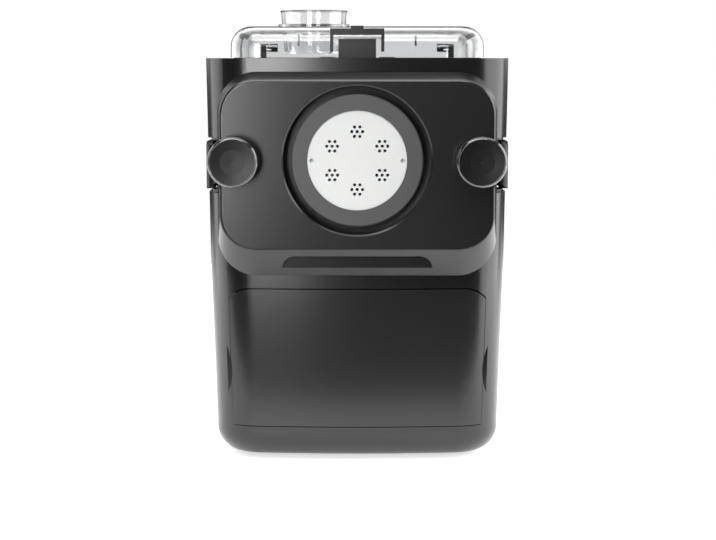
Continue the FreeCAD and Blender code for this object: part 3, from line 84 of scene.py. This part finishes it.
# roughness that varies a little about its middle value
def addGloss(tree, noise, shader, look):
    gloss = tree.nodes.new("ShaderNodeMapRange")
    gloss.inputs["To Min"].default_value = look["roughness"] - look["roughSpread"]
    gloss.inputs["To Max"].default_value = look["roughness"] + look["roughSpread"]
    tree.links.new(noise.outputs["Fac"], gloss.inputs["Value"])
    tree.links.new(gloss.outputs["Result"], shader.inputs["Roughness"])


def addBump(tree, noise, shader, strength, depth):
    bump = tree.nodes.new("ShaderNodeBump")
    bump.inputs["Strength"].default_value = strength
    bump.inputs["Distance"].default_value = depth
    tree.links.new(noise.outputs["Fac"], bump.inputs["Height"])
    tree.links.new(bump.outputs["Normal"], shader.inputs["Normal"])


# moulded plastic: slow changes of tone, and a fine grain in the gloss and the bump
moulded = {
    "toneLow": 0.3, "toneHigh": 0.7, "patchScale": 9.0, "patchDetail": 2.0,
    "grainScale": 900.0, "grainDetail": 4.0, "grain": 0.15, "grainDepth": 0.00006,
    "roughSpread": 0.04, "specular": 0.5, "coat": 0.0, "coatRoughness": 0.1, "soft": 0.0,
}


def mouldedPlastic(name, ownLook):
    look = {**moulded, **ownLook}
    material, tree, shader = newMaterial(name)
    slow = addNoise(tree, look["patchScale"], look["patchDetail"])
    addTone(tree, slow.outputs["Fac"], shader, look["dark"], look["light"], look)
    grain = addNoise(tree, look["grainScale"], look["grainDetail"])
    addGloss(tree, grain, shader, look)
    addBump(tree, grain, shader, look["grain"], look["grainDepth"])
    shader.inputs["Specular IOR Level"].default_value = look["specular"]
    shader.inputs["Coat Weight"].default_value = look["coat"]
    shader.inputs["Coat Roughness"].default_value = look["coatRoughness"]
    shader.inputs["Subsurface Weight"].default_value = look["soft"]
    return material


# polished clear plastic with faint flow marks from the mould; its colour turns darker where it is seen at
# a grazing angle, a painted dark reflection
polished = {
    "edgeBlend": 0.4, "toneLow": 0.25, "toneHigh": 1.0, "roughSpread": 0.01,
    "flowScale": 14.0, "flowDetail": 2.0, "flowStretch": (1, 1, 0.3), "flow": 0.08, "flowDepth": 0.0004,
}


def clearPlastic(name, ownLook):
    look = {**polished, **ownLook}
    material, tree, shader = newMaterial(name)
    turn = tree.nodes.new("ShaderNodeLayerWeight")
    turn.inputs["Blend"].default_value = look["edgeBlend"]
    addTone(tree, turn.outputs["Facing"], shader, look["colour"], look["edge"], look)
    shader.inputs["Transmission Weight"].default_value = 1.0
    shader.inputs["IOR"].default_value = look["bend"]
    flow = addNoise(tree, look["flowScale"], look["flowDetail"], look["flowStretch"])
    addGloss(tree, flow, shader, look)
    addBump(tree, flow, shader, look["flow"], look["flowDepth"])
    return material


# metal with fine turning lines
def turnedMetal(name, look):
    material, tree, shader = newMaterial(name)
    lines = addNoise(tree, look["lineScale"], look["lineDetail"], look["stretch"])
    addTone(tree, lines.outputs["Fac"], shader, look["dark"], look["light"], look)
    addGloss(tree, lines, shader, look)
    shader.inputs["Metallic"].default_value = 1.0
    return material


# coated board: green lacquer with a faint pattern of tracks under it
def circuitBoard(name, look):
    material, tree, shader = newMaterial(name)
    place = tree.nodes.new("ShaderNodeTexCoord")
    tracks = tree.nodes.new("ShaderNodeTexBrick")
    tracks.inputs["Scale"].default_value = look["scale"]
    tracks.inputs["Color1"].default_value = (*look["dark"], 1)
    tracks.inputs["Color2"].default_value = (*look["dark"], 1)
    tracks.inputs["Mortar"].default_value = (*look["light"], 1)
    tracks.inputs["Mortar Size"].default_value = look["trackWide"]
    tree.links.new(place.outputs["Object"], tracks.inputs["Vector"])
    tree.links.new(tracks.outputs["Color"], shader.inputs["Base Color"])
    shader.inputs["Roughness"].default_value = look["roughness"]
    shader.inputs["Coat Weight"].default_value = look["coat"]
    return material


plasticLooks = {
    "body": {"dark": (0.0042, 0.0042, 0.0045), "light": (0.0056, 0.0056, 0.0059),
             "roughness": 0.22, "grain": 0.12},
    "panel": {"dark": (0.007, 0.007, 0.0073), "light": (0.009, 0.009, 0.0093),
              "roughness": 0.22, "grain": 0.08},
    "ring": {"dark": (0.036, 0.036, 0.037), "light": (0.041, 0.041, 0.042),
             "roughness": 0.45, "grain": 0.12},
    "disc": {"dark": (0.46, 0.46, 0.45), "light": (0.50, 0.50, 0.49),
             "roughness": 0.4, "grain": 0.08, "soft": 0.1},
    "inner": {"dark": (0.16, 0.16, 0.165), "light": (0.19, 0.19, 0.195),
              "roughness": 0.35, "grain": 0.08},
    "black": {"dark": (0.004, 0.004, 0.0045), "light": (0.006, 0.006, 0.0065),
              "roughness": 0.3, "grain": 0.12},
    "knob": {"dark": (0.0035, 0.0035, 0.0037), "light": (0.005, 0.005, 0.0052),
             "roughness": 0.36, "specular": 0.25, "grain": 0.08},
    "rim": {"dark": (0.012, 0.012, 0.013), "light": (0.016, 0.016, 0.017),
            "roughness": 0.1, "grain": 0.02, "roughSpread": 0.02, "coat": 1.0, "coatRoughness": 0.04},
    "key": {"dark": (0.03, 0.03, 0.032), "light": (0.036, 0.036, 0.038), "roughness": 0.3, "coat": 0.3},
    "mark": {"dark": (0.62, 0.62, 0.62), "light": (0.70, 0.70, 0.70), "roughness": 0.5, "grain": 0.05},
    "rubber": {"dark": (0.018, 0.018, 0.018), "light": (0.024, 0.024, 0.024),
               "roughness": 0.75, "grain": 0.35},
    "seal": {"dark": (0.05, 0.05, 0.052), "light": (0.06, 0.06, 0.062), "roughness": 0.6, "grain": 0.1},
    "gear": {"dark": (0.68, 0.66, 0.58), "light": (0.74, 0.72, 0.64), "roughness": 0.42, "grain": 0.1},
}
# each clear plastic's second colour is painted where it is seen at a grazing angle, a painted dark
# reflection
clearLooks = {
    "clear": {"colour": (0.83, 0.835, 0.84), "edge": (0.12, 0.12, 0.125), "bend": 1.49, "roughness": 0.02},
    "cup": {"colour": (0.90, 0.903, 0.906), "edge": (0.14, 0.14, 0.145), "bend": 1.5, "roughness": 0.02},
    # the cup's rim plastic is a darker copy of the cup's, a painted dark rim line
    "cupRimPaintedLine": {"colour": (0.55, 0.55, 0.56), "edge": (0.25, 0.25, 0.26), "bend": 1.5, "roughness": 0.03},
    "display": {"colour": (0.03, 0.03, 0.035), "edge": (0.01, 0.01, 0.012), "bend": 1.45,
                "roughness": 0.05},
}
steelLook = {
    "dark": (0.42, 0.42, 0.43), "light": (0.62, 0.62, 0.63), "toneLow": 0.3, "toneHigh": 0.7,
    "roughness": 0.3, "roughSpread": 0.07, "lineScale": 260.0, "lineDetail": 3.0, "stretch": (1, 0.05, 1),
}
boardLook = {
    "dark": (0.01, 0.08, 0.03), "light": (0.12, 0.2, 0.06), "scale": 160, "trackWide": 0.03,
    "roughness": 0.35, "coat": 0.4,
}
plastics = {name: mouldedPlastic(name + "Plastic", look) for name, look in plasticLooks.items()}
clears = {name: clearPlastic(name + "Plastic", look) for name, look in clearLooks.items()}
steel = turnedMetal("turnedSteel", steelLook)
board = circuitBoard("boardLacquer", boardLook)

bySlot = {"clear_plastic": clears["clear"], "rubber": plastics["rubber"], "steel": steel, "board": board}
for kind in ("body", "panel", "ring", "disc", "inner", "black", "knob", "key", "gear"):
    bySlot[f"{kind}_plastic"] = plastics[kind]
byNode = {"display_lens": clears["display"], "measuring_cup": clears["cup"]}  # before the slot's own
for part in frame["record"]["subparts"]:
    dressed = nodes[part["node"]]
    dressed.data.materials.clear()
    dressed.data.materials.append(byNode.get(part["node"], bySlot[part["material_slot"]]))
print("finishes given to every node")


# shapes that the added pieces share

def meshPiece(name, build):
    mesh = bpy.data.meshes.new(name)
    shape = bmesh.new()
    build(shape)
    bmesh.ops.recalc_face_normals(shape, faces=shape.faces)
    shape.to_mesh(mesh)
    shape.free()
    piece = bpy.data.objects.new(name, mesh)
    bpy.context.collection.objects.link(piece)
    return piece


def finishPiece(piece, body, material, smooth=True):
    piece.data.materials.clear()
    piece.data.materials.append(material)
    for face in piece.data.polygons:
        face.use_smooth = smooth
    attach(piece, body)


# joins rings of points into one skin; it is closed when the last ring meets the first
def skin(shape, rings, closed):
    made = [[shape.verts.new(point) for point in ring] for ring in rings]
    count = len(rings[0])
    for step in range(len(made) if closed else len(made) - 1):
        here, there = made[step], made[(step + 1) % len(made)]
        for index in range(count):
            after = (index + 1) % count
            shape.faces.new((here[index], there[index], there[after], here[after]))
    if not closed:
        shape.faces.new(made[0])
        shape.faces.new(made[-1])


# turns a closed profile of (radius, along) pairs about an axis
def lathe(shape, profile, centre, axis, steps):
    turn = Vector((0, 0, 1)).rotation_difference(Vector(axis)).to_matrix().to_4x4()
    place = Matrix.Translation(centre) @ turn
    rings = []
    for step in range(steps):
        angle = 2 * math.pi * step / steps
        rings.append([place @ Vector((radius * math.cos(angle), radius * math.sin(angle), along))
                      for radius, along in profile])
    skin(shape, rings, True)


# plan outline of a box with round corners: (x, y, outward x, outward y)
def roundPlan(low, high, corner, steps):
    points = []
    middles = [(high[0] - corner, high[1] - corner, 0), (low[0] + corner, high[1] - corner, 1),
               (low[0] + corner, low[1] + corner, 2), (high[0] - corner, low[1] + corner, 3)]
    for x, y, quarter in middles:
        for step in range(steps + 1):
            angle = math.pi / 2 * (quarter + step / steps)
            outX, outY = math.cos(angle), math.sin(angle)
            points.append((x + corner * outX, y + corner * outY, outX, outY))
    return points


# sweeps a closed profile of (outward, up) pairs round such an outline
def bead(shape, plan, profile, height):
    rings = [[Vector((x + outX * out, y + outY * out, height + up)) for out, up in profile]
             for x, y, outX, outY in plan]
    skin(shape, rings, True)


# a flat outline of (right, up) pairs with a thickness, in a frame given by three directions
def slab(shape, outline, origin, right, up, out, thick):
    rings = [[Vector(origin) + Vector(right) * a + Vector(up) * b + Vector(out) * depth
              for a, b in outline] for depth in (0.0, thick)]
    skin(shape, rings, False)


def boxOutline(halfWide, halfTall, x, y):
    return [(x - halfWide, y - halfTall), (x + halfWide, y - halfTall),
            (x + halfWide, y + halfTall), (x - halfWide, y + halfTall)]


# lowest corner, highest corner and middle of a node
def spanOf(name):
    low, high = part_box(name)
    return Vector(low), Vector(high), (Vector(low) + Vector(high)) / 2


# polished ring on the edge of each clamp knob, a little proud of its chamfer
rim = {"chamfer": 0.002, "proud": 0.0002, "crown": 0.00015, "tuck": 0.0003, "steps": 7, "around": 160}


def rimProfile(radius):
    chamfer, tuck = rim["chamfer"], rim["tuck"]
    profile = []
    for step in range(rim["steps"] + 1):
        share = step / rim["steps"]
        lift = (rim["proud"] + rim["crown"] * math.sin(math.pi * share)) * math.sqrt(0.5)  # at 45 degrees
        profile.append((radius - chamfer * (1 - share) + lift, min(lift - chamfer * share, 0)))
    return profile + [(radius - tuck, -chamfer - tuck), (radius - chamfer - tuck, -tuck)]


for side in ("left", "right"):
    low, high, middle = spanOf(f"clamp_knob_{side}")
    profile = rimProfile((high.x - low.x) / 2)
    front = Vector((middle.x, low.y, middle.z))
    piece = meshPiece(f"knobRim_{side}",
                      lambda shape: lathe(shape, profile, front, (0, -1, 0), rim["around"]))
    finishPiece(piece, f"knob_{side}", plastics["rim"])
print("knob rims made")

# seal that lies on the deck round the tub's mouth
seal = {"wide": 0.0018, "high": 0.00042, "shoulder": 0.6, "corner": 0.02, "inset": 0.004, "steps": 10}
lidLow, lidHigh = spanOf("lid_shell")[:2]
inset = Vector((seal["inset"], seal["inset"], 0))
sealPlan = roundPlan(lidLow + inset, lidHigh - inset, seal["corner"], seal["steps"])
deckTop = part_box("top_deck")[1][2]
shoulder = seal["high"] * seal["shoulder"]
strip = [(0, 0), (seal["wide"], 0), (seal["wide"], shoulder),
         (seal["wide"] / 2, seal["high"]), (0, shoulder)]
piece = meshPiece("lidSeal", lambda shape: bead(shape, sealPlan, strip, deckTop))
finishPiece(piece, "housing", plastics["seal"])
print("lid seal made")

# raised measure lines on the cup's front, short and long in turn, without figures
measure = {"count": 5, "first": 0.006, "pitch": 0.0052, "thick": 0.0005, "deep": 0.0003,
           "gap": 0.00002, "arc": 26, "shortShare": 0.6, "facing": -90, "steps": 8}
cupSide = {"lowRadius": 0.02425, "topRadius": 0.02675}
cupLow, cupHigh, cupMiddle = spanOf("measuring_cup")


def cupRadius(up):
    share = up / (cupHigh.z - cupLow.z)
    return cupSide["lowRadius"] + (cupSide["topRadius"] - cupSide["lowRadius"]) * share


def measureLines(shape):
    deep, thick = measure["deep"], measure["thick"]
    for index in range(measure["count"]):
        up = measure["first"] + index * measure["pitch"]
        arc = measure["arc"] * (1.0 if index % 2 else measure["shortShare"])
        rings = []
        for step in range(measure["steps"] + 1):
            angle = math.radians(measure["facing"] - arc / 2 + arc * step / measure["steps"])
            ring = []
            for out, rise in ((0, 0), (deep, 0), (deep, thick), (0, thick)):
                reach = cupRadius(up + rise) + measure["gap"] + out
                ring.append(Vector((cupMiddle.x + reach * math.cos(angle),
                                    cupMiddle.y + reach * math.sin(angle), cupLow.z + up + rise)))
            rings.append(ring)
        skin(shape, rings, False)


piece = meshPiece("cupMeasureLines", measureLines)
finishPiece(piece, "cup", clears["cup"])

# rounded bead on the cup's rim, in a darker copy of the cup's clear plastic: a painted dark line along the
# rim
cupBead = {"thick": 0.0007, "out": 0.0001, "steps": 12, "around": 128}


def rimBead(shape):
    thick = cupBead["thick"]
    profile = []
    for step in range(cupBead["steps"]):
        angle = 2 * math.pi * step / cupBead["steps"]
        profile.append((cupSide["topRadius"] + cupBead["out"] + thick * math.cos(angle),
                        -thick + thick * math.sin(angle)))
    lathe(shape, profile, Vector((cupMiddle.x, cupMiddle.y, cupHigh.z)), (0, 0, 1), cupBead["around"])


piece = meshPiece("cupRimBead", rimBead)
finishPiece(piece, "cup", clears["cupRimPaintedLine"])

# plain screw heads at the corners of the rear cover, with their profile in shares of radius and height
screw = {"inset": 0.010, "radius": 0.0032, "high": 0.0011, "middle": 0.0003, "sunk": 0.0008,
         "profile": [(1, 0), (1, 0.45), (0.82, 0.85), (0.5, 1)], "around": 32}
coverLow, coverHigh = spanOf("rear_cover")[:2]


def screwHeads(shape):
    profile = [(screw["radius"] * out, screw["high"] * up) for out, up in screw["profile"]]
    profile = [(screw["middle"], 0), *profile, (screw["middle"], screw["high"])]
    for x in (coverLow.x + screw["inset"], coverHigh.x - screw["inset"]):
        for z in (coverLow.z + screw["inset"], coverHigh.z - screw["inset"]):
            lathe(shape, profile, (x, coverHigh.y - screw["sunk"], z), (0, 1, 0), screw["around"])


piece = meshPiece("coverScrews", screwHeads)
finishPiece(piece, "housing", steel)

# three flat pins in the power inlet
pin = {"halfWide": 0.0011, "halfTall": 0.0022, "long": 0.010, "spread": 0.0062, "drop": 0.002,
       "lift": 0.0022, "socketDeep": 0.016}
inletHigh, inletMiddle = spanOf("power_inlet")[1:]


def inletPins(shape):
    root = (0, inletHigh.y - pin["socketDeep"], inletMiddle.z)
    for x, z in ((-pin["spread"], -pin["drop"]), (pin["spread"], -pin["drop"]), (0, pin["lift"])):
        slab(shape, boxOutline(pin["halfWide"], pin["halfTall"], x, z), root,
             (1, 0, 0), (0, 0, 1), (0, 1, 0), pin["long"])


piece = meshPiece("inletPins", inletPins)
finishPiece(piece, "housing", steel, False)
print("cup lines, cover screws and inlet pins made")

# plain signs let into the keys: a broken ring with a stroke, three bars, and a triangle, with
# the places on them in shares of the size
sign = {"size": 0.0032, "line": 0.0006, "thick": 0.0001}
ringSign = {"from": 130, "turn": 280, "steps": 20, "strokeAt": 0.75}
barSign = {"half": 0.8, "pitch": 0.6}
triangleSign = {"back": 0.6, "half": 0.8, "tip": 0.9}


def keySign(shape, kind, centre):
    size, line = sign["size"], sign["line"]
    outlines = []
    if kind == "power":
        arc = [math.radians(ringSign["from"] + step * ringSign["turn"] / ringSign["steps"])
               for step in range(ringSign["steps"] + 1)]
        for first, second in zip(arc, arc[1:]):
            outlines.append([(size * math.cos(first), size * math.sin(first)),
                             (size * math.cos(second), size * math.sin(second)),
                             ((size - line) * math.cos(second), (size - line) * math.sin(second)),
                             ((size - line) * math.cos(first), (size - line) * math.sin(first))])
        outlines.append(boxOutline(line / 2, size / 2, 0, size * ringSign["strokeAt"]))
    elif kind == "program":
        outlines += [boxOutline(size * barSign["half"], line / 2, 0, step * size * barSign["pitch"])
                     for step in (-1, 0, 1)]
    else:
        back, half = -size * triangleSign["back"], size * triangleSign["half"]
        outlines.append([(back, -half), (size * triangleSign["tip"], 0), (back, half)])
    for outline in outlines:
        slab(shape, outline, centre, (-1, 0, 0), (0, -1, 0), (0, 0, 1), sign["thick"])


for kind in ("power", "program", "start"):
    low, high, middle = spanOf(f"{kind}_button")
    top = Vector((middle.x, middle.y, high.z - sign["thick"] / 2))
    piece = meshPiece(f"keySign_{kind}", lambda shape: keySign(shape, kind, top))
    finishPiece(piece, f"{kind}_key", plastics["mark"], False)
print("key signs made")

# camera: level with the top of the casing, looking down a little
camera = {"x": 0.0006, "distance": 1.512, "height": 0.316, "downDegrees": 6.88, "lens": 88.3,
          "sensorWide": 36, "nearest": 0.05}
view = bpy.data.objects.new("camera", bpy.data.cameras.new("camera"))
view.data.lens = camera["lens"]
view.data.sensor_width = camera["sensorWide"]
view.data.clip_start = camera["nearest"]
view.location = (camera["x"], -camera["distance"], camera["height"])
view.rotation_euler = (math.radians(90 - camera["downDegrees"]), 0, 0)
bpy.context.collection.objects.link(view)
bpy.context.scene.camera = view

# white surroundings that light the object only a little; through clear plastic they are white
# behind the object and grey to its sides
studio = {"seen": 1.0, "lighting": 0.07, "sides": 0.16, "sideFrom": 0.25, "sideTo": 0.9}
mixInput = {"factor": 0, "first": 2, "second": 3}  # number sockets of a Mix node
bpy.context.scene.view_settings.view_transform = "Standard"
world = bpy.data.worlds.new("studio")
world.use_nodes = True
sky = world.node_tree
backdrop = sky.nodes["Background"]
backdrop.inputs["Color"].default_value = (1, 1, 1, 1)
rays = sky.nodes.new("ShaderNodeLightPath")
place = sky.nodes.new("ShaderNodeTexCoord")
axes = sky.nodes.new("ShaderNodeSeparateXYZ")
behind = sky.nodes.new("ShaderNodeMapRange")
behind.inputs["From Min"].default_value = studio["sideFrom"]
behind.inputs["From Max"].default_value = studio["sideTo"]
behind.inputs["To Min"].default_value = studio["sides"]
behind.inputs["To Max"].default_value = studio["seen"]
sky.links.new(place.outputs["Generated"], axes.inputs["Vector"])
sky.links.new(axes.outputs["Y"], behind.inputs["Value"])
through = sky.nodes.new("ShaderNodeMix")
through.inputs[mixInput["first"]].default_value = studio["lighting"]
sky.links.new(rays.outputs["Is Transmission Ray"], through.inputs[mixInput["factor"]])
sky.links.new(behind.outputs["Result"], through.inputs[mixInput["second"]])
strength = sky.nodes.new("ShaderNodeMix")
strength.inputs[mixInput["second"]].default_value = studio["seen"]
sky.links.new(rays.outputs["Is Camera Ray"], strength.inputs[mixInput["factor"]])
sky.links.new(through.outputs[0], strength.inputs[mixInput["first"]])
sky.links.new(strength.outputs[0], backdrop.inputs["Strength"])
bpy.context.scene.world = world

# pale floor that ends 0.2 m in front of the object, where the white surroundings take over
sheet = {"halfWide": 1.2, "front": -0.395, "back": 1.2, "colour": (0.9, 0.9, 0.9), "roughness": 0.7,
         "specular": 0.2, "glow": 0.62}
spread = (Matrix.Translation((0, (sheet["front"] + sheet["back"]) / 2, 0))
          @ Matrix.Diagonal((sheet["halfWide"], (sheet["back"] - sheet["front"]) / 2, 1, 1)))
floor = meshPiece("floor", lambda shape: bmesh.ops.create_grid(shape, x_segments=2, y_segments=2, size=1,
                                                               matrix=spread))
floorMaterial, floorShader = newMaterial("paleFloor")[::2]
floorShader.inputs["Base Color"].default_value = (*sheet["colour"], 1)
floorShader.inputs["Roughness"].default_value = sheet["roughness"]
floorShader.inputs["Specular IOR Level"].default_value = sheet["specular"]
floorShader.inputs["Emission Color"].default_value = (1, 1, 1, 1)
floorShader.inputs["Emission Strength"].default_value = sheet["glow"]
floor.data.materials.append(floorMaterial)

# softboxes that the camera doesn't see, all turned to the middle of the object
softboxes = {
    "sheetLeft": {"at": (-0.42, -1.5, 0.38), "size": (0.4, 0.72), "power": 11.5},
    "edgeRight": {"at": (0.85, -0.1, 0.4), "size": (1.0, 0.9), "power": 11},
    "edgeLeft": {"at": (-0.9, 0.1, 0.35), "size": (0.6, 0.9), "power": 4.5},
    "frontHigh": {"at": (-0.2, -0.95, 1.5), "size": (1.4, 1.1), "power": 32},
    "overhead": {"at": (0, 0.5, 2.4), "size": (3.2, 3.2), "power": 55},
    "rearRight": {"at": (1.3, 1.5, 0.9), "size": (1.3, 1.3), "power": 6},
    "rearLeft": {"at": (-1.5, 1.4, 0.9), "size": (1.3, 1.3), "power": 6},
    "sideRight": {"at": (2.0, -0.9, 0.9), "size": (1.2, 1.2), "power": 6},
}
target = Vector((0, -0.05, 0.18))
for name, box in softboxes.items():
    lamp = bpy.data.lights.new(name, "AREA")
    lamp.shape = "RECTANGLE"
    lamp.size, lamp.size_y = box["size"]
    lamp.energy = box["power"]
    holder = bpy.data.objects.new(name, lamp)
    holder.location = box["at"]
    holder.rotation_euler = (target - Vector(box["at"])).to_track_quat("-Z", "Y").to_euler()
    holder.visible_camera = False
    bpy.context.collection.objects.link(holder)
print("camera, floor and lights set")
